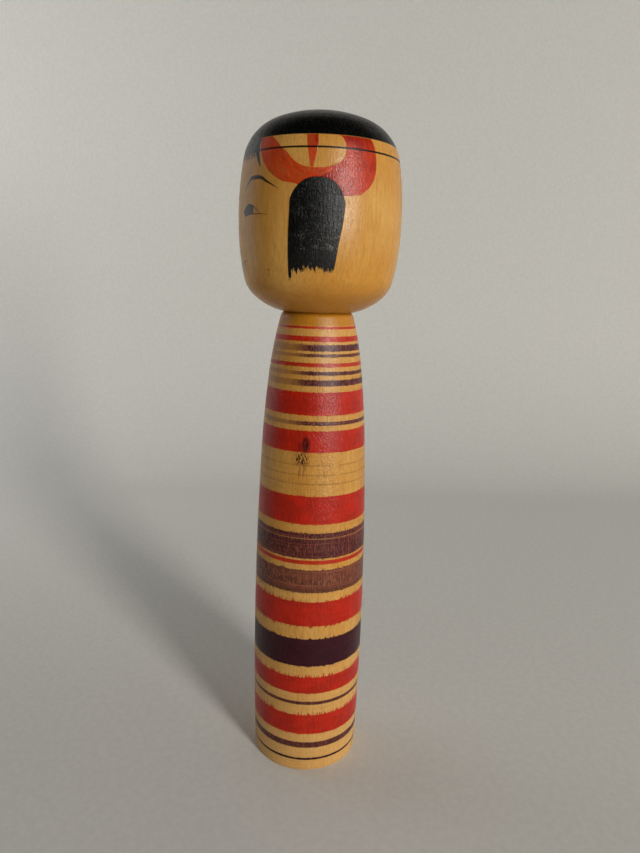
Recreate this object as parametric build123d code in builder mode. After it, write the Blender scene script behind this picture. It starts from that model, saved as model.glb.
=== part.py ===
from build123d import *
import os

# Kokeshi doll: a turned wooden body, and a turned wooden head that springs into it and turns.
# Millimetres. +Z is up, the origin is the centre of the base, and the painted face looks to -Y.
# Both pieces are solids of revolution about Z. Each outline is a chain of tangent arcs, given by
# their radii and by the angle that each one turns through, in degrees.

# Heights above the base
total_height = 242.0
seam_height = 174.8  # top of the body
seam_gap = 0.2  # the thin dark line under the head
seat_height = seam_height + seam_gap  # underside of the head

# Body, from the foot up to the shoulder
foot_radius = 20.4
foot_chamfer = 0.6
foot_splay = 1.84  # lean of the side, outwards, at the foot
belly_arc, belly_turn = 1576.0, 4.47
waist_arc, waist_turn = 429.0, 4.14
neck_arc, neck_turn = 138.25, 8.37
shoulder_arc = 1.6
shoulder_turn = 90.0 + foot_splay - belly_turn - waist_turn - neck_turn

# Mark of the lathe's tail centre, in the middle of the base
centre_mark_radius = 1.2
centre_mark_depth = 1.0

# Head, from the top of the crown down to the underside
crown_arc, crown_turn = 44.6, 22.8
temple_arc, temple_turn = 16.2, 57.3
brow_arc, brow_turn = 113.0, 16.2
cheek_arc, cheek_turn = 63.5, 7.9
jaw_arc, jaw_turn = 10.9, 30.6
chin_arc, chin_turn = 21.4, 33.8

# Tenon under the head: a straight neck, then a swelling that holds it in the socket
tenon_radius = 7.9
tenon_neck_length = 3.0
tenon_length = 14.0
swell_radius = 8.7
tip_rounding = 0.8

# Socket in the body: the tenon's shape with running clearance, and a little deeper
running_clearance = 0.08
socket_end_clearance = 1.0
mouth_chamfer = 0.4

swell_top = seat_height - tenon_neck_length
swell_bottom = seat_height - tenon_length
swell_middle = (swell_top + swell_bottom) / 2
socket_radius = tenon_radius + running_clearance
socket_swell_radius = swell_radius + running_clearance
socket_floor = swell_bottom - socket_end_clearance


with BuildPart() as body:
    with BuildSketch(Plane.XZ):
        with BuildLine():
            Line((0, 0), (foot_radius, 0))
            foot_direction = Vector(1, 0).rotate(Axis.Z, 90.0 - foot_splay)
            belly = JernArc((foot_radius, 0), foot_direction, belly_arc, belly_turn)
            waist = JernArc(belly @ 1, belly % 1, waist_arc, waist_turn)
            neck = JernArc(waist @ 1, waist % 1, neck_arc, neck_turn)
            shoulder = JernArc(neck @ 1, neck % 1, shoulder_arc, shoulder_turn)
            Line(shoulder @ 1, (socket_radius, seam_height))
            Line((socket_radius, seam_height), (0, seam_height))
            Line((0, seam_height), (0, 0))
        make_face()
    revolve(axis=Axis.Z)
    chamfer(body.edges().group_by(Axis.Z)[0], foot_chamfer)

    # The blind socket, wider inside than at its mouth
    with BuildSketch(Plane.XZ):
        with BuildLine():
            Line((0, socket_floor), (socket_radius, socket_floor))
            Line((socket_radius, socket_floor), (socket_radius, swell_bottom))
            ThreePointArc(
                (socket_radius, swell_bottom),
                (socket_swell_radius, swell_middle),
                (socket_radius, swell_top),
            )
            Line((socket_radius, swell_top), (socket_radius, seam_height - mouth_chamfer))
            mouth_edge = (socket_radius + mouth_chamfer, seam_height)
            Line((socket_radius, seam_height - mouth_chamfer), mouth_edge)
            Line(mouth_edge, (0, seam_height))
            Line((0, seam_height), (0, socket_floor))
        make_face()
    revolve(axis=Axis.Z, mode=Mode.SUBTRACT)

    # The centre mark in the base
    with BuildSketch(Plane.XZ):
        with BuildLine():
            Polyline((0, 0), (centre_mark_radius, 0), (0, centre_mark_depth), close=True)
        make_face()
    revolve(axis=Axis.Z, mode=Mode.SUBTRACT)
body.part.label = "body"
export_step(body.part, "parts/body.step")


with BuildPart() as head:
    with BuildSketch(Plane.XZ):
        with BuildLine():
            crown = JernArc((0, total_height), (1, 0), crown_arc, -crown_turn)
            temple = JernArc(crown @ 1, crown % 1, temple_arc, -temple_turn)
            brow = JernArc(temple @ 1, temple % 1, brow_arc, -brow_turn)
            cheek = JernArc(brow @ 1, brow % 1, cheek_arc, -cheek_turn)
            jaw = JernArc(cheek @ 1, cheek % 1, jaw_arc, -jaw_turn)
            chin = JernArc(jaw @ 1, jaw % 1, chin_arc, -chin_turn)
            Line(chin @ 1, (tenon_radius, seat_height))
            Line((tenon_radius, seat_height), (tenon_radius, swell_top))
            ThreePointArc(
                (tenon_radius, swell_top),
                (swell_radius, swell_middle),
                (tenon_radius, swell_bottom),
            )
            Line((tenon_radius, swell_bottom), (0, swell_bottom))
            Line((0, swell_bottom), (0, total_height))
        make_face()
    revolve(axis=Axis.Z)
    fillet(head.edges().group_by(Axis.Z)[0], tip_rounding)
head.part.label = "head"
export_step(head.part, "parts/head.step")


for piece in (body, head):
    box = piece.part.bounding_box()
    print(piece.part.label, "z", round(box.min.Z, 2), "to", round(box.max.Z, 2), "mm")
    print(piece.part.label, "diameter", round(box.size.X, 2), "mm")
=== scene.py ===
import math

import bpy
import numpy as np
from mathutils import Matrix, Vector


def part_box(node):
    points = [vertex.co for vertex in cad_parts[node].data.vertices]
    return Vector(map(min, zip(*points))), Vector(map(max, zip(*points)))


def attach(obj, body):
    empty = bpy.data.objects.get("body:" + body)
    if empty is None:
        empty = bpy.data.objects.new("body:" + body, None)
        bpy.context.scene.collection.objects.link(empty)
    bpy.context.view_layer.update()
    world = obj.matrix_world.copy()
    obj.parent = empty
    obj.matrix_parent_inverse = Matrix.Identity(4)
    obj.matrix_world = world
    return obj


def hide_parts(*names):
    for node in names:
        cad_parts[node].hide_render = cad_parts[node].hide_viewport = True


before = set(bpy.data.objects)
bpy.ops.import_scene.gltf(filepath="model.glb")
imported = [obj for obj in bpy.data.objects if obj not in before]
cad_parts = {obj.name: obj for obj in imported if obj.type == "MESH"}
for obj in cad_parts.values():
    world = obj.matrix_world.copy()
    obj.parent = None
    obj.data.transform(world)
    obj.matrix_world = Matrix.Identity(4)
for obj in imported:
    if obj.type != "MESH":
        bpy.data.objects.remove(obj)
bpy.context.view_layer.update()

# The looks of a painted wooden kokeshi: two turned pieces, their ink and paint, and a studio.
# Lengths named here are in millimetres and angles in degrees. Blender gets metres.
# An azimuth is 0 in the middle of the face, at -Y, and grows towards +X.

MM = 0.001
SEED = 8

# Heights, from the frame
HEAD_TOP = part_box("head")[1].z / MM
TENON_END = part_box("head")[0].z / MM
BODY_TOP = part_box("body")[1].z / MM
SEAM_GAP = 0.2
SEAT = BODY_TOP + SEAM_GAP  # underside of the head

# Outlines of the two turned pieces: radius and turn of each tangent arc, as the CAD has them
FOOT_RADIUS = 20.4
FOOT_ROUNDING = 0.6
FOOT_SPLAY = 1.84
BODY_ARCS = [(1576.0, 4.47), (429.0, 4.14), (138.25, 8.37), (1.6, 74.86)]
HEAD_ARCS = [(44.6, -22.8), (16.2, -57.3), (113.0, -16.2), (63.5, -7.9), (10.9, -30.6), (21.4, -33.8)]
TENON_RADIUS = 7.9
TENON_NECK = 3.0
SWELL_RADIUS = 8.7
TIP_ROUNDING = 0.8
RUNNING_CLEARANCE = 0.08
SOCKET_DEPTH_CLEARANCE = 1.0
MOUTH_CHAMFER = 0.4
CENTRE_MARK = (1.2, 1.0)  # radius and depth
SEAT_RIM = (12.5, 0.14)  # radius and height of the rim that the head sits on

# What the lathe leaves on the outside of the turned meshes
TOOL_MARK_DEPTH = 0.025
TOOL_MARK_WINDOW = 5  # points of the outline in the window that smooths the marks
OUT_OF_ROUND = 0.0012  # as a share of the radius
WIDEST_AZIMUTH_PHASE = 0.7  # in radians
BARE_SEAT = 0.4  # height of the strip above the seat that has no tool marks

# Fineness of the turned meshes
SEGMENTS = 256
OUTSIDE_STEP = 0.5
INSIDE_STEP = 2.0
SHARP_ANGLE = 32.0


# --- Turned shapes ---


def walk(start, heading, arcs, step):
    """The points of a chain of tangent arcs, about step apart. A positive turn is anticlockwise."""
    points = [start]
    angle = math.radians(heading)
    for radius, turn in arcs:
        side = math.copysign(radius, turn)
        x, z = points[-1]
        centre_x = x - side * math.sin(angle)
        centre_z = z + side * math.cos(angle)
        swept = math.radians(turn)
        count = max(3, math.ceil(abs(radius * swept) / step))
        for i in range(1, count + 1):
            now = angle + swept * i / count
            points.append((centre_x + side * math.sin(now), centre_z - side * math.cos(now)))
        angle += swept
    return points


def straight(start, end, step):
    """The points of a line after its start, about step apart."""
    length = math.dist(start, end)
    count = max(1, math.ceil(length / step))
    return [
        tuple(a + (b - a) * i / count for a, b in zip(start, end, strict=True))
        for i in range(1, count + 1)
    ]


def swelling(low, high, radius, swell, step):
    """Points up the side of the tenon or socket, which bulges in the middle."""
    rise = (high - low) / 2
    bulge = swell - radius
    arc_radius = (rise**2 + bulge**2) / (2 * bulge)
    middle = (low + high) / 2
    count = math.ceil((high - low) / step)
    points = []
    for i in range(count + 1):
        z = low + (high - low) * i / count
        points.append((swell - arc_radius + math.sqrt(arc_radius**2 - (z - middle) ** 2), z))
    return points


def body_outline():
    """The body's outline, from the middle of the base round the outside and into the socket."""
    flat = FOOT_RADIUS - FOOT_ROUNDING
    outline = [(0.0, CENTRE_MARK[1]), (CENTRE_MARK[0], 0.0)]
    outline += straight(outline[-1], (flat, 0.0), OUTSIDE_STEP)
    outline += walk(outline[-1], 0.0, [(FOOT_ROUNDING, 90.0 - FOOT_SPLAY)], FOOT_ROUNDING / 4)[1:]
    side = walk((FOOT_RADIUS, 0.0), 90.0 - FOOT_SPLAY, BODY_ARCS, OUTSIDE_STEP)
    outline += [point for point in side if point[1] > outline[-1][1]]
    mouth = TENON_RADIUS + RUNNING_CLEARANCE
    rim = BODY_TOP + SEAT_RIM[1]
    outline += straight(outline[-1], (SEAT_RIM[0], BODY_TOP), INSIDE_STEP)
    outline.append((SEAT_RIM[0] - SEAT_RIM[1], rim))
    outline += straight(outline[-1], (mouth + MOUTH_CHAMFER, rim), INSIDE_STEP)
    outline.append((mouth, rim - MOUTH_CHAMFER))
    swell = SWELL_RADIUS + RUNNING_CLEARANCE
    inside = swelling(TENON_END, SEAT - TENON_NECK, mouth, swell, INSIDE_STEP)
    outline += inside[::-1]
    floor = TENON_END - SOCKET_DEPTH_CLEARANCE
    outline += [(mouth, floor)]
    outline += straight(outline[-1], (0.0, floor), INSIDE_STEP)
    return outline


def head_outline():
    """The head's outline, from the crown down to the seat and on round the tenon."""
    outline = walk((0.0, HEAD_TOP), 0.0, HEAD_ARCS, OUTSIDE_STEP)
    outline += straight(outline[-1], (TENON_RADIUS, SEAT), INSIDE_STEP)
    inside = swelling(TENON_END + TIP_ROUNDING, SEAT - TENON_NECK, TENON_RADIUS, SWELL_RADIUS, INSIDE_STEP)
    outline += inside[::-1]
    outline += walk(outline[-1], -90.0, [(TIP_ROUNDING, -90.0)], TIP_ROUNDING / 3)[1:]
    outline += straight(outline[-1], (0.0, outline[-1][1]), INSIDE_STEP)
    return outline


def tool_marks(outline, random):
    """How far each point of an outline stands proud, from the chatter of the turning tool."""
    chatter = random.normal(size=len(outline))
    window = np.hanning(TOOL_MARK_WINDOW)
    smooth = np.convolve(chatter, window / window.sum(), mode="same")
    radii = np.array(outline)[:, 0]
    share = np.clip(radii / FOOT_RADIUS, 0.0, 1.0)
    return TOOL_MARK_DEPTH * smooth / max(abs(smooth).max(), 1e-9) * share


def outline_normals(points):
    """The outward direction at each point of an outline that runs with the solid on its left."""
    along = np.gradient(points, axis=0)
    along /= np.maximum(np.linalg.norm(along, axis=1, keepdims=True), 1e-9)
    return np.stack([along[:, 1], -along[:, 0]], axis=1)


def turned(name, outline, outside, anticlockwise, dents, random):
    """A closed mesh turned from an outline, with tool marks, dents and a little out of round."""
    points = np.array(outline)
    proud = tool_marks(outline, random) * outside
    normals = outline_normals(points) * (1.0 if anticlockwise else -1.0)
    points = points + normals * proud[:, None]
    angles = np.arange(SEGMENTS) * 2 * math.pi / SEGMENTS
    oval = 1.0 + OUT_OF_ROUND * np.cos(2 * angles + WIDEST_AZIMUTH_PHASE)
    rings = points[1:-1]
    radius = rings[:, :1] * np.where(outside[1:-1, None] > 0, oval[None, :], 1.0)
    x = radius * np.sin(angles)
    y = -radius * np.cos(angles)
    z = np.repeat(rings[:, 1:2], SEGMENTS, axis=1)
    places = np.stack([x, y, z], axis=2)
    for azimuth, height, across, depth in dents:
        places = dented(places, outside[1:-1], azimuth, height, across, depth)
    vertices = places.reshape(-1, 3)
    first, last = len(vertices), len(vertices) + 1
    vertices = np.vstack([vertices, [[0, 0, points[0, 1]], [0, 0, points[-1, 1]]]])
    return closed_mesh(name, vertices * MM, len(rings), first, last, anticlockwise)


def dented(places, outside, azimuth, height, across, depth):
    """The same points with one shallow round dent pressed in towards the axis."""
    angle = math.radians(azimuth)
    toward = np.array([math.sin(angle), -math.cos(angle), 0.0])
    around = places[..., :2] @ np.array([math.cos(angle), math.sin(angle)])
    facing = places @ toward > 0
    distance = np.hypot(around, places[..., 2] - height)
    press = depth * np.exp(-((distance / across) ** 2) * 2.0) * facing * (outside[:, None] > 0)
    return places - press[..., None] * toward


def closed_mesh(name, vertices, rings, first, last, anticlockwise):
    """The mesh object of stacked rings that are closed by a fan at each end."""
    here = np.arange(SEGMENTS)
    beside = (here + 1) % SEGMENTS
    quads = []
    for ring in range(rings - 1):
        low, high = ring * SEGMENTS, (ring + 1) * SEGMENTS
        quads.append(np.stack([low + here, low + beside, high + beside, high + here], axis=1))
    faces = np.vstack(quads).tolist()
    end = (rings - 1) * SEGMENTS
    faces += [[first, int(b), int(a)] for a, b in zip(here, beside, strict=True)]
    faces += [[last, int(end + a), int(end + b)] for a, b in zip(here, beside, strict=True)]
    if not anticlockwise:
        faces = [face[::-1] for face in faces]
    mesh = bpy.data.meshes.new(name)
    mesh.from_pydata(vertices.tolist(), [], faces)
    mesh.polygons.foreach_set("use_smooth", [True] * len(mesh.polygons))
    mesh.set_sharp_from_angle(angle=math.radians(SHARP_ANGLE))
    mesh.update()
    made = bpy.data.objects.new(name, mesh)
    bpy.context.scene.collection.objects.link(made)
    return made


# The wax over the wood and the paint
WAX_SPECULAR = 0.13
WAX_ROUGHNESS = 0.15
WOOD_ROUGHNESS = 0.19
HEAD_WAX = 0.05
BODY_WAX = 0.08


# --- Fields: numbers that vary over a surface, worked out by shader nodes ---


class Field:
    """A node's output. Arithmetic on it adds nodes to the same tree."""

    def __init__(self, tree, socket):
        self.tree = tree
        self.socket = socket

    def maths(self, operation, *others):
        node = self.tree.nodes.new("ShaderNodeMath")
        node.operation = operation
        for place, value in enumerate((self, *others)):
            connect(self.tree, value, node.inputs[place])
        return Field(self.tree, node.outputs[0])

    def __add__(self, other):
        return self.maths("ADD", other)

    def __radd__(self, other):
        return self.maths("ADD", other)

    def __sub__(self, other):
        return self.maths("SUBTRACT", other)

    def __rsub__(self, other):
        return self.maths("MULTIPLY_ADD", -1.0, other)

    def __mul__(self, other):
        return self.maths("MULTIPLY", other)

    def __truediv__(self, other):
        return self.maths("DIVIDE", other)

    def __abs__(self):
        return self.maths("ABSOLUTE")


def connect(tree, value, socket):
    """Links a field to a socket, or sets the socket to a plain value."""
    if isinstance(value, Field):
        tree.links.new(value.socket, socket)
    else:
        socket.default_value = value


def either(*masks):
    """The strongest of several masks."""
    strongest = masks[0]
    for mask in masks[1:]:
        strongest = strongest.maths("MAXIMUM", mask)
    return strongest


def rise(value, start, end):
    """0 before start and 1 after end, smoothly. It falls instead where start is the larger."""
    node = value.tree.nodes.new("ShaderNodeMapRange")
    node.interpolation_type = "SMOOTHSTEP"
    connect(value.tree, value, node.inputs["Value"])
    connect(value.tree, start, node.inputs["From Min"])
    connect(value.tree, end, node.inputs["From Max"])
    return Field(value.tree, node.outputs["Result"])


def edge(distance, softness):
    """1 where a distance in millimetres is above 0, and 0 where it is below, with a soft change."""
    return rise(distance, -softness, softness)


def scaled(value, start, end, new_start, new_end):
    """Value carried from one range to another in a straight line, and held at its ends."""
    node = value.tree.nodes.new("ShaderNodeMapRange")
    connect(value.tree, value, node.inputs["Value"])
    node.inputs["From Min"].default_value = start
    node.inputs["From Max"].default_value = end
    node.inputs["To Min"].default_value = new_start
    node.inputs["To Max"].default_value = new_end
    return Field(value.tree, node.outputs["Result"])


def drawn(value, points):
    """A smooth curve through points, read at value."""
    places = [x for x, _ in points]
    heights = [y for _, y in points]
    low, high = min(heights), max(heights)
    node = value.tree.nodes.new("ShaderNodeFloatCurve")
    curve = node.mapping.curves[0]
    while len(curve.points) < len(points):
        curve.points.new(0.5, 0.5)
    for place, (x, y) in zip(curve.points, sorted(points), strict=True):
        across = (x - min(places)) / (max(places) - min(places))
        place.location = (across, (y - low) / (high - low))
        place.handle_type = "AUTO"
    node.mapping.use_clip = False
    node.mapping.update()
    connect(value.tree, scaled(value, min(places), max(places), 0.0, 1.0), node.inputs["Value"])
    return scaled(Field(value.tree, node.outputs["Value"]), 0.0, 1.0, low, high)


def mixed(cover, under, over):
    """Under, covered by over where cover is 1. Each is a colour or a field of colour."""
    node = cover.tree.nodes.new("ShaderNodeMix")
    node.data_type = "RGBA"
    connect(cover.tree, cover, node.inputs["Factor"])
    connect(cover.tree, under, node.inputs[6])
    connect(cover.tree, over, node.inputs[7])
    return Field(cover.tree, node.outputs[2])


def ink(red, green, blue):
    """A colour as a screen shows it, 0 to 255, in the linear numbers that shaders use."""
    shown = np.array([red, green, blue]) / 255.0
    linear = np.where(shown <= 0.04045, shown / 12.92, ((shown + 0.055) / 1.055) ** 2.4)
    return (*(float(v) for v in linear), 1.0)


class Surface:
    """A material whose paint is worked out from the surface's place, in millimetres."""

    def __init__(self, name):
        self.material = bpy.data.materials.new(name)
        self.material.use_nodes = True
        self.tree = self.material.node_tree
        self.shader = self.tree.nodes["Principled BSDF"]
        place = self.tree.nodes.new("ShaderNodeTexCoord")
        apart = self.tree.nodes.new("ShaderNodeSeparateXYZ")
        self.tree.links.new(place.outputs["Object"], apart.inputs[0])
        self.x, self.y, self.z = (Field(self.tree, out) / MM for out in apart.outputs)
        self.azimuth = self.x.maths("ARCTAN2", self.y * -1.0) * (180.0 / math.pi)
        self.side = abs(self.azimuth)
        self.radius = (self.x * self.x + self.y * self.y).maths("SQRT")

    def noise(self, across, along, detail=2.0, roughness=0.5, shift=0.0):
        """Smooth noise from 0 to 1, with about that many features in a millimetre each way."""
        return self.noise_at(self.x * across, self.y * across, self.z * along + shift, detail, roughness)

    def noise_at(self, x, y, z, detail=2.0, roughness=0.5):
        """Smooth noise from 0 to 1 at a point of its own space."""
        joined = self.tree.nodes.new("ShaderNodeCombineXYZ")
        for value, socket in zip((x, y, z), joined.inputs, strict=True):
            connect(self.tree, value, socket)
        node = self.tree.nodes.new("ShaderNodeTexNoise")
        self.tree.links.new(joined.outputs[0], node.inputs["Vector"])
        node.inputs["Scale"].default_value = 1.0
        node.inputs["Detail"].default_value = detail
        node.inputs["Roughness"].default_value = roughness
        return Field(self.tree, node.outputs[0])

    def turning(self, fineness, detail=3.0, roughness=0.6):
        """Noise that is the same all the way round, as a turning tool leaves it."""
        return self.noise_at(self.radius * fineness, 0.0, self.z * fineness, detail, roughness)

    def blot(self, azimuth, height, across, tall):
        """A soft oval mark, 1 in its middle, with its half width and half height."""
        arc = (self.azimuth - azimuth) * self.radius * (math.pi / 180.0) / across
        up = (self.z - height) / tall
        return rise((arc * arc + up * up).maths("SQRT"), 1.0, 0.3)

    def finish(self, colour, roughness, height, coat):
        """Joins colour, roughness and relief in millimetres to the shader, under a thin wax coat."""
        connect(self.tree, colour, self.shader.inputs["Base Color"])
        connect(self.tree, roughness, self.shader.inputs["Roughness"])
        relief = self.tree.nodes.new("ShaderNodeBump")
        relief.inputs["Strength"].default_value = 1.0
        relief.inputs["Distance"].default_value = MM
        connect(self.tree, height, relief.inputs["Height"])
        self.tree.links.new(relief.outputs["Normal"], self.shader.inputs["Normal"])
        self.tree.links.new(relief.outputs["Normal"], self.shader.inputs["Coat Normal"])
        self.shader.inputs["Specular IOR Level"].default_value = WAX_SPECULAR
        self.shader.inputs["Coat Weight"].default_value = coat
        self.shader.inputs["Coat Roughness"].default_value = WAX_ROUGHNESS
        return self.material


# --- Colours ---

HONEY = ink(208, 148, 62)
PALE_WOOD = ink(220, 166, 86)
LIGHTER_WOOD = ink(230, 184, 120)
# Dark grain colour, also used as painted shade under the head's jaw
DARK_GRAIN_AND_SHADE = ink(152, 92, 32)
PORE = ink(88, 48, 20)
AMBER = ink(184, 121, 16)
RED = ink(194, 24, 8)
CRIMSON = ink(146, 9, 10)
ORANGE_RED = ink(203, 57, 14)
PURPLE = ink(59, 9, 27)
DEEP_PURPLE = ink(46, 4, 21)
FADED_PURPLE = ink(140, 84, 58)
THIN_PURPLE = ink(146, 60, 63)
BLACK = ink(6, 6, 5)
# Grey of scuffed ink, also used as a painted sheen on the side locks
WORN_BLACK_AND_SHEEN = ink(104, 103, 95)
MAROON = ink(46, 10, 18)
STAIN = ink(36, 12, 10)
PUPIL = ink(34, 33, 30)
BRIGHT_RED = ink(206, 62, 36)
WORN_DEEP = ink(100, 34, 52)
LINE_BROWN = ink(118, 72, 34)


# --- Wood ---


def wood(surface, ring_contrast, pore_depth):
    """Fine pale hardwood with upright grain. Returns its colour, its pores and its fibres."""
    x, y = surface.x + 31.0, surface.y - 18.0
    warp = surface.noise(0.05, 0.012, detail=3.0) * 9.0
    ring = (((x * x + y * y).maths("SQRT") + warp) / 2.6).maths("FRACT")
    late = rise(ring, 0.55, 0.98) * rise(ring, 1.0, 0.97)
    streaks = surface.noise(0.5, 0.014, detail=4.0, roughness=0.6)
    fibres = surface.noise(2.1, 0.09, detail=4.0, roughness=0.72, shift=7.0)
    clouds = surface.noise(0.06, 0.035, detail=3.0, shift=3.0)
    flecks = rise(surface.noise(1.7, 0.6, detail=3.0, roughness=0.72, shift=41.0), 0.52, 0.64)
    pores = rise(surface.noise(2.0, 0.34, detail=3.0, roughness=0.75, shift=11.0), 0.6, 0.67)
    colour = mixed(rise(clouds, 0.32, 0.68), HONEY, PALE_WOOD)
    colour = mixed(rise(fibres, 0.42, 0.66) * 0.3, colour, DARK_GRAIN_AND_SHADE)
    colour = mixed(rise(streaks, 0.5, 0.75) * 0.14 + late * ring_contrast, colour, DARK_GRAIN_AND_SHADE)
    colour = mixed(flecks * pore_depth * 0.6, colour, DARK_GRAIN_AND_SHADE)
    colour = mixed(pores * pore_depth, colour, PORE)
    return colour, pores, fibres


def wood_roughness(pores, fibres):
    """How rough the waxed wood is before the paint is added."""
    return WOOD_ROUGHNESS + fibres * 0.12 + pores * 0.15


def fine_tooth(surface):
    """The fine unevenness that is left on wood and paint under the wax."""
    return surface.noise(1.6, 1.3, detail=2.0, roughness=0.7, shift=111.0)


# --- The head's painting ---

ARC_MM = 0.49  # millimetres round the head for each degree of azimuth
CAP_EDGE = 230.1
RING_LINE = 226.15


def stroke(across, middle, thickness, softness=0.1):
    """A brush stroke of changing thickness about a middle line."""
    return rise(abs(across - middle) - thickness * 0.5, softness, -softness)


def cap(surface):
    """The round black crown, with a small bare ring in the middle of its top."""
    edge = rise(surface.z, CAP_EDGE - 0.12, CAP_EDGE + 0.12)
    bare = rise(surface.radius, 2.1, 2.3) * rise(surface.radius, 5.6, 5.3)
    return edge * (1.0 - bare * rise(surface.z, 239.0, 240.0))


def ring_line(surface):
    """The thin black line turned below the crown."""
    waver = surface.noise(0.06, 0.0, detail=1.0) * 0.2 - 0.1
    return stroke(surface.z, waver + RING_LINE, 0.6, 0.1)


def fringe(surface):
    """The brushed fringe over the forehead, with a pointed strand at each side."""
    outer = drawn(surface.z, [(220.6, 33.5), (222.4, 32.2), (224.2, 30.9), (226.5, 29.9), (230.5, 29.5)])
    inner = drawn(surface.z, [(220.6, 33.2), (222.0, 30.8), (223.4, 28.9), (224.6, 27.2), (226.0, 24.5)])
    hairs = surface.noise(1.5, 0.0, detail=4.0, roughness=0.75, shift=5.0)
    tips = scaled(hairs, 0.3, 0.7, 222.8, 226.4)
    within = edge((outer - surface.side) * ARC_MM, 0.15)
    mass = within * rise(surface.z - tips, -0.7, 0.9) * rise(surface.z, 232.0, 231.0)
    strand = within * edge((surface.side - inner) * ARC_MM, 0.15) * rise(surface.z, 220.5, 221.2)
    return either(mass, strand * rise(surface.z, 227.0, 225.5))


# The ribbon's outer and inner edge: angle round its middle from straight down, and distance from it
KASE_OUTER = [
    (-96, 21.6), (-77, 19.6), (-39, 15.6), (-18, 14.0), (4, 14.9), (22, 17.0), (38, 20.2), (50, 22.1),
    (62, 22.75), (75, 22.2), (98, 19.9),
]
KASE_INNER = [
    (-98, 16.8), (-90, 13.2), (-84, 11.9), (-63, 9.3), (-30, 8.4), (-2, 8.0), (33, 9.0), (65, 10.8),
    (79, 10.6), (104, 8.3),
]
KASE_MIDDLE = (73.0, 228.0)  # azimuth and height


def kase(surface):
    """The red ribbon looped over each side lock, with its stem. Returns its mask and brush marks."""
    across = (surface.side - KASE_MIDDLE[0]) * ARC_MM
    up = surface.z - KASE_MIDDLE[1]
    reach = (across * across + up * up).maths("SQRT")
    turn = across.maths("ARCTAN2", up * -1.0) * (180.0 / math.pi)
    outer = drawn(turn, KASE_OUTER)
    inner = drawn(turn, KASE_INNER)
    waver = surface.noise(0.6, 0.6, detail=2.0, shift=2.0) * 0.3 - 0.15
    loop = edge(outer - reach + waver, 0.14) * edge(reach - inner + waver, 0.14)
    stem_middle = drawn(surface.z, [(219.6, 71.7), (224.0, 71.8), (230.5, 71.0)])
    stem_width = drawn(surface.z, [(219.6, 0.5), (222.0, 1.7), (224.0, 2.6), (227.0, 3.6), (230.5, 4.1)])
    stem = edge((stem_width - abs(surface.side - stem_middle)) * ARC_MM, 0.12)
    stem = stem * rise(reach, 9.0, 8.4)
    below_cap = rise(surface.z, CAP_EDGE, CAP_EDGE - 0.2)
    mask = either(loop, stem) * below_cap * rise(surface.z, 208.0, 209.0)
    bristles = surface.noise_at(reach * 1.1, turn * 0.03, surface.z * 0.04, detail=4.0, roughness=0.62)
    crossing = rise(across * 0.56 - up, 11.75, 12.05) * rise(turn, 5.0, 9.0)
    second = either(crossing, rise(turn, 33.0, 36.0))
    overlap = second * rise(turn, 52.0, 20.0)
    return mask, bristles, second, overlap


# The lock's arched top: azimuth of its middle, half width in degrees, foot and rise
LOCK_MIDDLE = 75.4
LOCK_HALF_WIDTH = 18.9
ARCH_FOOT = 206.0
ARCH_RISE = 11.25


def side_lock(surface):
    """The long black lock at each side of the head, with a ragged brushed end."""
    front = drawn(surface.z, [(185.0, 56.6), (192.0, 56.8), (200.0, 57.2), (206.0, 57.7), (211.0, 58.0)])
    back = drawn(surface.z, [(185.0, 86.6), (190.5, 88.8), (197.0, 90.5), (205.0, 93.0), (212.0, 94.1)])
    across = (surface.side - LOCK_MIDDLE) / LOCK_HALF_WIDTH
    squareness = rise(across, -0.3, 0.3) * 0.65 + 2.2
    fall = abs(across).maths("POWER", squareness)
    arch = (1.0 - fall).maths("SQRT") * ARCH_RISE + ARCH_FOOT
    strands = surface.noise(0.85, 0.0, detail=1.0, shift=8.0) * 4.4 - 2.2
    hairs = rise(surface.noise(2.4, 0.0, detail=3.0, roughness=0.75, shift=9.0), 0.4, 0.62) * 1.5 - 0.8
    ends = drawn(surface.side, [(56.4, 188.4), (57.6, 185.9), (59.2, 188.6), (74.0, 189.3), (88.6, 188.8)])
    teeth = ends + hairs + strands * rise(surface.side, 58.5, 61.0)
    mask = edge((surface.side - front) * ARC_MM, 0.12) * edge((back - surface.side) * ARC_MM, 0.12)
    return mask * edge(arch - surface.z, 0.1) * rise(surface.z - teeth, -0.18, 0.22)


def brow(surface):
    """The arched eyebrows, thickest over the eye."""
    middle = drawn(surface.side, [
        (15.0, 213.4), (20.5, 216.3), (26.0, 217.8), (33.0, 217.7), (40.0, 216.2), (50.5, 213.6),
    ])
    thickness = drawn(surface.side, [
        (15.0, 0.0), (21.0, 0.95), (28.0, 1.3), (34.0, 1.15), (41.0, 0.75), (50.5, 0.0),
    ])
    span = rise(surface.side, 15.2, 16.5) * rise(surface.side, 50.3, 49.5)
    return stroke(surface.z, middle, thickness) * span


PUPIL_MIDDLE = (21.8, 207.7)  # azimuth and height
PUPIL_RADIUS = 3.35


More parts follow.
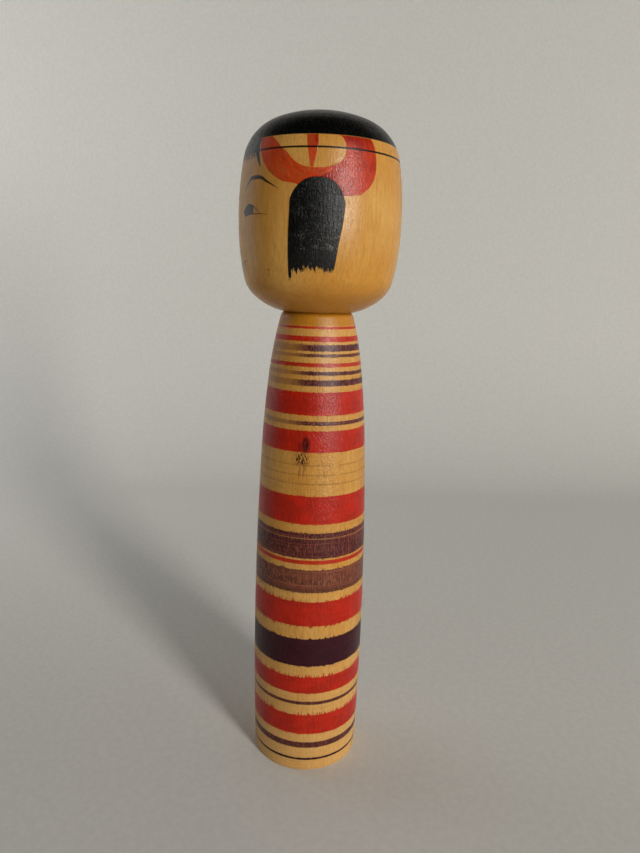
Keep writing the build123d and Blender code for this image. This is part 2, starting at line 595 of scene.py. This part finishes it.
def eye(surface):
    """The eyes: a lid arch, a thin lower line and a grey pupil between. Returns lines and pupil."""
    lid = drawn(surface.side, [
        (14.3, 207.0), (18.5, 208.8), (23.0, 209.5), (28.0, 208.85), (33.0, 207.2), (36.0, 206.2),
    ])
    lid_thickness = drawn(surface.side, [(14.3, 0.1), (20.0, 0.45), (26.0, 0.5), (31.0, 0.3), (36.0, 0.05)])
    lower = drawn(surface.side, [(15.0, 205.9), (20.0, 206.15), (27.0, 206.5), (33.0, 206.4), (42.5, 205.95)])
    lower_thickness = drawn(surface.side, [
        (15.0, 0.0), (19.0, 0.35), (30.0, 0.32), (37.0, 0.22), (42.5, 0.0),
    ])
    lid_line = stroke(surface.z, lid, lid_thickness) * rise(surface.side, 14.3, 15.2)
    lid_line = lid_line * rise(surface.side, 35.5, 34.5)
    lower_line = stroke(surface.z, lower, lower_thickness, 0.08)
    lower_line = lower_line * rise(surface.side, 15.5, 17.0) * rise(surface.side, 42.3, 41.0)
    across = (surface.side - PUPIL_MIDDLE[0]) * ARC_MM
    up = (surface.z - PUPIL_MIDDLE[1]) * 1.35
    round_edge = rise((across * across + up * up).maths("SQRT"), PUPIL_RADIUS, PUPIL_RADIUS - 0.25)
    pupil = round_edge * edge(lid - surface.z, 0.1) * edge(surface.z - lower, 0.1)
    return either(lid_line, lower_line), pupil


def nose(surface):
    """A small nose: two strokes that run down together and turn outwards at their feet."""
    bridge = drawn(surface.z, [(194.9, 3.3), (195.8, 2.2), (197.5, 1.5), (200.0, 1.1), (203.5, 0.9)])
    thickness = drawn(surface.z, [(194.9, 0.34), (198.0, 0.3), (201.0, 0.22), (203.5, 0.0)])
    line = rise(abs(surface.side - bridge) * ARC_MM - thickness * 0.5, 0.08, -0.08)
    line = line * rise(surface.z, 194.8, 195.1) * rise(surface.z, 203.4, 202.6)
    foot = drawn(surface.side, [(2.4, 195.35), (3.5, 194.85), (5.0, 194.6), (7.2, 194.65)])
    foot_thickness = drawn(surface.side, [(2.4, 0.3), (4.5, 0.42), (7.2, 0.0)])
    curl = stroke(surface.z, foot, foot_thickness, 0.08)
    curl = curl * rise(surface.side, 2.3, 2.7) * rise(surface.side, 7.2, 6.6)
    return either(line, curl)


# Each stroke of the mouth: its middle line and its thickness, both by azimuth
MOUTH_STROKES = [
    ([(0.0, 190.25), (6.0, 190.6), (12.0, 191.35), (18.4, 192.25)], [(0.0, 0.42), (10.0, 0.36), (18.4, 0.0)]),
    ([(0.0, 189.3), (6.0, 189.65), (13.2, 190.6)], [(0.0, 0.34), (7.0, 0.32), (13.2, 0.0)]),
    ([(0.0, 188.4), (5.0, 188.65), (11.5, 189.6)], [(0.0, 0.36), (6.0, 0.32), (11.5, 0.0)]),
]


def mouth(surface):
    """The smiling mouth: three thin strokes, one under another."""
    strokes = []
    for middle_points, thickness_points in MOUTH_STROKES:
        middle = drawn(surface.side, middle_points)
        thickness = drawn(surface.side, thickness_points)
        end = middle_points[-1][0]
        line = stroke(surface.z, middle, thickness, 0.08)
        strokes.append(line * rise(surface.side, end, end - 1.0))
    return either(*strokes)


def kase_tone(surface, bristles, second, overlap):
    """The ribbon's red: an orange wash, darker where strokes cross, pool or start."""
    pooled = surface.noise(0.22, 0.22, detail=2.0, shift=51.0)
    darker = rise(bristles, 0.38, 0.68) * 0.3 + second * 0.2 + overlap * 0.55 + rise(pooled, 0.4, 0.65) * 0.3
    return mixed(darker + rise(surface.z, 223.0, 229.0) * 0.25, ORANGE_RED, CRIMSON)


def hair_tone(surface, lock, wisps):
    """Black ink, scuffed in fine ticks where the side locks have been handled, with a grey painted sheen high
    on the lock.
    """
    ticks = rise(surface.noise(1.7, 0.8, detail=2.0, roughness=0.75, shift=14.0), 0.54, 0.62)
    rows = rise(surface.noise(0.12, 0.55, detail=2.0, shift=61.0), 0.48, 0.58)
    scuffs = rise(surface.noise(1.9, 1.5, detail=2.0, roughness=0.8, shift=141.0), 0.56, 0.64) * 0.4
    brushed = rise(surface.noise(0.9, 1.9, detail=3.0, roughness=0.8, shift=131.0), 0.55, 0.66) * 0.22
    low = rise(surface.z, 206.0, 201.0) * rise(surface.z, 190.0, 196.0) * rise(surface.side, 60.0, 68.0)
    high = rise(surface.z, 201.0, 207.0)
    # Real scuffs low on the lock; the grey brushed marks high on it and the faint grey along the wisps are
    # painted sheen.
    wear_and_sheen = either(ticks * rows * (low * 0.8 + 0.16), scuffs * low, brushed * high, wisps * 0.02)
    return mixed(wear_and_sheen * lock, BLACK, WORN_BLACK_AND_SHEEN)


def head_spots(surface):
    """A few small brown spots low on each cheek."""
    upper = either(surface.blot(40.4, 188.8, 1.0, 0.6), surface.blot(38.3, 197.6, 0.4, 0.5) * 0.6)
    lower = either(surface.blot(40.6, 187.3, 0.9, 0.5) * 0.7, surface.blot(44.6, 188.3, 0.6, 0.3) * 0.5)
    return either(upper, lower)


def head_material():
    """Honey-coloured wood with the head's ink and red paint on it, under wax, and painted shade under the
    jaw.
    """
    surface = Surface("head_painted_wood")
    colour, pores, fibres = wood(surface, 0.08, 0.27)
    # Painted shade: the wood is darkened towards the underside of the head, under the jaw.
    colour = mixed(rise(surface.z, 188.0, 178.0) * 0.42, colour, DARK_GRAIN_AND_SHADE)
    red, bristles, second, overlap = kase(surface)
    thin_wash = (1.0 - second) * rise(bristles, 0.35, 0.65) * 0.16
    colour = mixed(red * (0.97 - thin_wash), colour, kase_tone(surface, bristles, second, overlap))

    lines, pupil = eye(surface)
    hair = either(cap(surface), fringe(surface) * 0.995)
    lock = side_lock(surface)
    drawing = either(ring_line(surface) * 0.98, brow(surface) * 0.94, lines * 0.9)
    drawing = either(drawing, nose(surface) * 0.8, mouth(surface) * 0.8)
    wisps = surface.noise(1.9, 0.12, detail=4.0, roughness=0.72, shift=21.0)
    colour = mixed(pupil * 0.93, colour, PUPIL)
    colour = mixed(drawing, colour, BLACK)
    colour = mixed(either(hair, lock), colour, hair_tone(surface, lock, wisps))
    colour = mixed(head_spots(surface) * 0.45, colour, PORE)

    inked = either(hair, lock, drawing * 0.5)
    roughness = wood_roughness(pores, fibres) + inked * 0.02 + red * 0.05
    roughness = roughness + lock * (wisps * 0.1 + rise(surface.z, 203.0, 192.0) * 0.14)
    tooth = fine_tooth(surface)
    grain = fibres * 0.07 - pores * 0.03 + surface.turning(1.7) * 0.008
    paint = lock * wisps * 0.09 + red * bristles * 0.02 + inked * 0.006
    height = grain + paint + tooth * (red * 0.05 + lock * 0.06 + 0.05 - hair * 0.03)
    return surface.finish(colour, roughness, height, HEAD_WAX)


# --- The body's painting ---

# Bottom, top, pigment, how far its lower and upper edges bleed, and how dense it is
STRIPES = [
    (4.6, 5.5, "maroon", 0.1, 0.2, 1.0),
    (10.1, 12.5, "purple", 0.25, 0.25, 0.95),
    (16.2, 24.3, "red", 0.5, 1.9, 0.97),
    (28.9, 30.2, "purple", 0.2, 0.2, 0.95),
    (33.7, 40.4, "red", 0.5, 1.7, 0.97),
    (45.1, 56.1, "deep", 0.6, 0.9, 0.99),
    (61.4, 70.9, "red", 1.3, 1.5, 0.97),
    (74.6, 83.3, "purple", 0.5, 0.7, 0.9),
    (85.6, 87.1, "red", 0.15, 0.15, 0.93),
    (87.9, 97.3, "purple", 0.5, 0.6, 0.96),
    (100.7, 111.0, "red", 0.4, 0.4, 0.97),
    (126.9, 134.5, "red", 0.3, 0.35, 0.97),
    (136.5, 137.8, "purple", 0.25, 0.3, 0.95),
    (140.0, 148.0, "red", 0.3, 0.35, 0.97),
    (150.2, 152.2, "purple", 0.4, 0.4, 0.97),
    (153.9, 155.1, "purple", 0.3, 0.3, 0.97),
    (156.7, 158.0, "red", 0.15, 0.15, 0.93),
    (160.1, 161.1, "purple", 0.3, 0.3, 0.92),
    (162.1, 164.2, "purple", 0.35, 0.45, 0.97),
    (165.3, 167.1, "red", 0.15, 0.15, 0.95),
    (169.6, 170.45, "red", 0.1, 0.1, 0.93),
]
FAINT_LINES = [115.4, 118.7, 122.2]  # heights
SHOULDER_TINT = 170.6  # the bare wood is amber above this
SCRATCH_HEIGHT = 95.3


def stripe_masks(surface):
    """One mask for each pigment, from the stripes laid on while the body spins."""
    bleeding = surface.noise(2.0, 0.01, detail=3.0, roughness=0.75, shift=17.0)
    reach = surface.noise(0.35, 0.05, detail=2.0, shift=91.0)
    tall = rise(surface.noise(1.7, 0.01, detail=2.0, roughness=0.8, shift=71.0), 0.6, 0.66)
    spikes = rise(bleeding, 0.44, 0.6) * rise(reach, 0.3, 0.65) * 0.8 + tall * 0.8
    waver = surface.noise(0.5, 0.02, detail=2.0, shift=19.0) * 0.3 - 0.15
    masks = {}
    for low, high, pigment, low_bleed, high_bleed, density in STRIPES:
        bottom = surface.z - low + spikes * low_bleed + waver * 0.5
        top = high - surface.z + spikes * high_bleed - waver * 0.5
        mask = rise(bottom, -0.1, 0.12) * rise(top, -0.1, 0.12) * density
        masks[pigment] = either(masks[pigment], mask) if pigment in masks else mask
    return masks


def old_stain(surface):
    """A dark smudge with flecks under it, on one side of the body."""
    streaky = rise(surface.noise(1.3, 0.35, detail=3.0, roughness=0.7), 0.24, 0.46)
    smudge = either(surface.blot(70.0, 129.6, 2.0, 4.4), surface.blot(63.5, 129.0, 0.9, 3.0) * 0.5) * streaky
    flecks = rise(surface.noise(1.7, 0.85, detail=2.0, roughness=0.8, shift=4.0), 0.45, 0.54)
    drips = rise(surface.noise(2.0, 0.1, detail=2.0, shift=81.0), 0.5, 0.62) * 0.4
    below = surface.blot(66.0, 124.4, 4.2, 3.8) * flecks
    return either(smudge, below, surface.blot(67.0, 121.0, 3.4, 5.0) * drips)


def purple_wear(surface, lathe, specks, softness):
    """Where the purple is worn thin, in scratches along the turning and dashes along the grain."""
    dashes = surface.noise(1.5, 0.28, detail=3.0, roughness=0.75, shift=101.0)
    start, end = 0.55 - softness, softness + 0.62
    along_turning = rise(lathe, start, end) * 0.8
    return either(rise(dashes, start, end), along_turning, rise(specks, start, end) * 0.9)


def bare_body(surface, colour, lathe, specks):
    """The body's wood, amber at the shoulder and paler towards the foot, with three faint lines."""
    # Paler towards the foot, and in scattered specks.
    colour = mixed(rise(surface.z, 75.0, 5.0) * 0.4 + rise(specks, 0.5, 0.6) * 0.22, colour, LIGHTER_WOOD)
    colour = mixed(rise(lathe, 0.5, 0.66) * 0.16, colour, DARK_GRAIN_AND_SHADE)
    amber = rise(surface.z, SHOULDER_TINT - 0.5, SHOULDER_TINT + 0.5) * rise(surface.radius, 9.0, 10.5)
    colour = mixed(amber * 0.85, colour, AMBER)
    lines = either(*(stroke(surface.z, height, 0.4, 0.25) for height in FAINT_LINES))
    broken = rise(surface.noise(0.3, 0.1, detail=3.0), 0.25, 0.5)
    return mixed(lines * broken * 0.5, colour, LINE_BROWN)


def red_tone(lathe, specks, blotches, fibres):
    """The stripes' red: crimson where the pigment is thick or sinks in, brighter where it is rubbed."""
    tone = mixed(rise(blotches, 0.4, 0.62) * 0.42 + rise(lathe, 0.5, 0.7) * 0.25, RED, CRIMSON)
    tone = mixed(rise(fibres, 0.46, 0.62) * 0.45, tone, CRIMSON)
    return mixed(rise(specks, 0.56, 0.66) * 0.3, tone, BRIGHT_RED)


def body_material():
    """Pale wood with red and purple stripes laid on in the lathe, under wax."""
    surface = Surface("body_painted_wood")
    colour, pores, fibres = wood(surface, 0.08, 0.42)
    lathe = surface.noise(0.02, 1.7, detail=4.0, roughness=0.72, shift=23.0)
    specks = surface.noise(1.9, 0.9, detail=3.0, roughness=0.75, shift=27.0)
    blotches = surface.noise(0.16, 0.2, detail=3.0, shift=33.0)
    colour = bare_body(surface, colour, lathe, specks)
    masks = stripe_masks(surface)
    colour = mixed(masks["red"] * (1.0 - pores * 0.1), colour, red_tone(lathe, specks, blotches, fibres))

    faded = rise(surface.side, 72.0, 36.0) * rise(surface.z, 98.0, 150.0)
    rubbed_band = rise(surface.z, 74.0, 75.0) * rise(surface.z, 84.0, 83.0)
    thick_edge = rise(surface.z, 77.4, 75.8) * rubbed_band
    worn = purple_wear(surface, lathe, specks, rubbed_band * 0.06) * (1.0 - thick_edge * 0.6)
    purple = mixed(worn * (rubbed_band * 0.3 + 0.64), PURPLE, THIN_PURPLE)
    purple = mixed(faded * 0.75, purple, FADED_PURPLE)
    cover = 1.0 - faded * 0.5 - worn * (rubbed_band * 0.07 + 0.05)
    scratch = stroke(surface.z, SCRATCH_HEIGHT, 0.3, 0.15) * 0.5
    colour = mixed(masks["purple"] * cover * (1.0 - scratch), colour, purple)
    deep = mixed(rise(blotches, 0.45, 0.7) * 0.1 + worn * 0.2, DEEP_PURPLE, WORN_DEEP)
    colour = mixed(masks["deep"], colour, deep)
    colour = mixed(masks["maroon"] * (1.0 - rise(specks, 0.55, 0.75) * 0.3), colour, MAROON)
    colour = mixed(old_stain(surface) * 0.93, colour, STAIN)

    painted = either(*masks.values())
    roughness = wood_roughness(pores, fibres) + painted * (specks * 0.14 - 0.02)
    tooth = fine_tooth(surface)
    grain = fibres * 0.045 - pores * 0.03 + surface.turning(1.7) * 0.012
    return surface.finish(colour, roughness, grain + tooth * 0.19 + painted * 0.01, BODY_WAX)


# --- The pieces ---

# Each small dent's azimuth, height, width and depth
HEAD_DENTS = [(118.0, 233.6, 0.9, 0.16), (124.0, 231.8, 0.7, 0.12), (201.0, 214.0, 1.6, 0.14)]
BODY_DENTS = [
    (70.0, 1.2, 1.5, 0.18),
    (152.0, 2.0, 1.8, 0.2),
    (262.0, 0.9, 1.4, 0.16),
    (231.0, 58.0, 1.7, 0.12),
]


def make_head(random):
    """The turned head with its tenon, in place of the plain CAD head."""
    outline = head_outline()
    outside = np.array([1.0 if z > SEAT + BARE_SEAT else 0.0 for _, z in outline])
    head = turned("head_turned", outline, outside, False, HEAD_DENTS, random)
    head.data.materials.append(head_material())
    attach(head, "head")
    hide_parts("head")


def make_body(random):
    """The turned body with its socket, in place of the plain CAD body."""
    outline = body_outline()
    shoulder = max(range(len(outline)), key=lambda i: outline[i][1])
    side = [i < shoulder and z > FOOT_ROUNDING for i, (_, z) in enumerate(outline)]
    outside = np.array([1.0 if tooled else 0.0 for tooled in side])
    body = turned("body_turned", outline, outside, True, BODY_DENTS, random)
    body.data.materials.append(body_material())
    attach(body, "trunk")
    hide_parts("body")


# --- Camera ---

VIEW_AZIMUTH = 78.0
CAMERA_DISTANCE = 244.4
CAMERA_HEIGHT = 184.4
CAMERA_PITCH = 12.03
CAMERA_YAW = -0.54
CAMERA_ROLL = 1.85
LENS = 27.96
SENSOR = 36.0


def direction(azimuth, elevation=0.0):
    """The unit vector that points out from the axis at an azimuth and elevation."""
    a, e = math.radians(azimuth), math.radians(elevation)
    return Vector((math.sin(a) * math.cos(e), -math.cos(a) * math.cos(e), math.sin(e)))


def make_camera():
    """A camera at the viewing place, close to the doll and a little above its middle."""
    data = bpy.data.cameras.new("camera")
    data.lens = LENS
    data.sensor_width = SENSOR
    data.clip_start = 0.01
    camera = bpy.data.objects.new("camera", data)
    bpy.context.scene.collection.objects.link(camera)
    camera.location = direction(VIEW_AZIMUTH) * CAMERA_DISTANCE * MM + Vector((0, 0, CAMERA_HEIGHT * MM))
    forward = -direction(VIEW_AZIMUTH + CAMERA_YAW, CAMERA_PITCH)
    right = forward.cross(Vector((0, 0, 1))).normalized()
    up = right.cross(forward)
    axes = Matrix((right, up, -forward)).transposed()
    camera.rotation_euler = (axes @ Matrix.Rotation(math.radians(CAMERA_ROLL), 3, "Z")).to_euler()
    bpy.context.scene.camera = camera


# --- Studio ---

FLOOR_HALF_WIDTH = 1400.0
SWEEP_FRONT = 900.0
SWEEP_BACK = 330.0
SWEEP_RADIUS = 160.0
SWEEP_TOP = 1300.0
PAPER = ink(218, 217, 212)
PALER_PAPER = ink(224, 223, 218)
PAPER_ROUGHNESS = 0.75
SKY = ink(246, 250, 255)
SKY_STRENGTH = 0.02
BACKDROP = ink(168, 166, 160)


def paper_material():
    """Plain pale paper with a faint tooth."""
    surface = Surface("pale_paper")
    tooth = surface.noise(0.35, 0.35, detail=4.0, roughness=0.6)
    colour = mixed(rise(tooth, 0.3, 0.7), PAPER, PALER_PAPER)
    return surface.finish(colour, tooth * 0.1 + PAPER_ROUGHNESS, tooth * 0.05, 0.0)


def make_floor():
    """A pale floor that sweeps up into a plain background behind the doll."""
    profile = [(SWEEP_FRONT, 0.0)]
    for degrees in range(0, 91, 5):
        a = math.radians(degrees)
        profile.append((-SWEEP_BACK - SWEEP_RADIUS * math.sin(a), SWEEP_RADIUS * (1 - math.cos(a))))
    profile.append((-SWEEP_BACK - SWEEP_RADIUS, SWEEP_TOP))
    toward, across = direction(VIEW_AZIMUTH), direction(VIEW_AZIMUTH + 90.0)
    vertices = []
    for out, height in profile:
        for side in (-1, 1):
            vertices.append((toward * out + across * side * FLOOR_HALF_WIDTH + Vector((0, 0, height))) * MM)
    faces = [(2 * i, 2 * i + 1, 2 * i + 3, 2 * i + 2) for i in range(len(profile) - 1)]
    mesh = bpy.data.meshes.new("floor")
    mesh.from_pydata(vertices, [], faces)
    mesh.polygons.foreach_set("use_smooth", [True] * len(mesh.polygons))
    floor = bpy.data.objects.new("floor", mesh)
    bpy.context.scene.collection.objects.link(floor)
    floor.data.materials.append(paper_material())


# Each light's name; its azimuth from the camera's, elevation and distance; width, height, watts, colour
LIGHTS = [
    ("key", (35.0, 16.5, 1300.0), 220.0, 820.0, 11.3, (1.0, 0.97, 0.92)),
    ("glint", (35.0, 16.5, 1300.0), 200.0, 700.0, 22.0, (1.0, 0.98, 0.95)),
    ("side", (85.0, 10.0, 1300.0), 1200.0, 700.0, 2.8, (1.0, 0.98, 0.95)),
    ("fill", (-116.0, 16.0, 800.0), 450.0, 700.0, 1.2, (0.98, 0.98, 1.0)),
]
# The background's light: its place behind and to the left of the doll, and how far it looks down
WASH_BEHIND = 60.0
WASH_LEFT = 470.0
WASH_HEIGHT = 430.0
WASH_DROP = 0.2


def area_light(name, place, toward, width, height, watts, colour):
    """A soft rectangular light at a place, in millimetres, that faces another place."""
    data = bpy.data.lights.new(name, "AREA")
    data.shape = "RECTANGLE"
    data.size = width * MM
    data.size_y = height * MM
    data.energy = watts
    data.color = colour
    light = bpy.data.objects.new(name, data)
    bpy.context.scene.collection.objects.link(light)
    light.location = place * MM
    light.rotation_euler = (place - toward).to_track_quat("Z", "Y").to_euler()
    light.visible_camera = False
    return light


def make_lights():
    """The lights round the doll and one on the background. The glint is seen only as a reflection."""
    middle = Vector((0, 0, HEAD_TOP / 2))
    for name, (azimuth, elevation, distance), width, height, watts, colour in LIGHTS:
        place = middle + direction(VIEW_AZIMUTH + azimuth, elevation) * distance
        light = area_light(name, place, middle, width, height, watts, colour)
        light.visible_diffuse = name != "glint"
    behind = direction(VIEW_AZIMUTH + 180.0)
    leftward = direction(VIEW_AZIMUTH - 90.0)
    wash = behind * WASH_BEHIND + leftward * WASH_LEFT + Vector((0, 0, WASH_HEIGHT))
    area_light("wash", wash, wash + behind - Vector((0, 0, WASH_DROP)), 560.0, 160.0, 0.62, (1.0, 1.0, 0.98))


def make_surround():
    """A faint even light from all round, behind which the camera sees plain pale grey."""
    world = bpy.data.worlds.new("surround")
    bpy.context.scene.world = world
    world.use_nodes = True
    tree = world.node_tree
    light = tree.nodes["Background"]
    light.inputs["Color"].default_value = SKY
    light.inputs["Strength"].default_value = SKY_STRENGTH
    backdrop = tree.nodes.new("ShaderNodeBackground")
    backdrop.inputs["Color"].default_value = BACKDROP
    seen = tree.nodes.new("ShaderNodeLightPath")
    chosen = tree.nodes.new("ShaderNodeMixShader")
    tree.links.new(seen.outputs["Is Camera Ray"], chosen.inputs[0])
    tree.links.new(light.outputs[0], chosen.inputs[1])
    tree.links.new(backdrop.outputs[0], chosen.inputs[2])
    tree.links.new(chosen.outputs[0], tree.nodes["World Output"].inputs["Surface"])


def main():
    make_camera()
    random = np.random.default_rng(SEED)
    make_head(random)
    make_body(random)
    make_floor()
    make_lights()
    make_surround()
    bpy.context.scene.view_settings.view_transform = "Standard"


main()
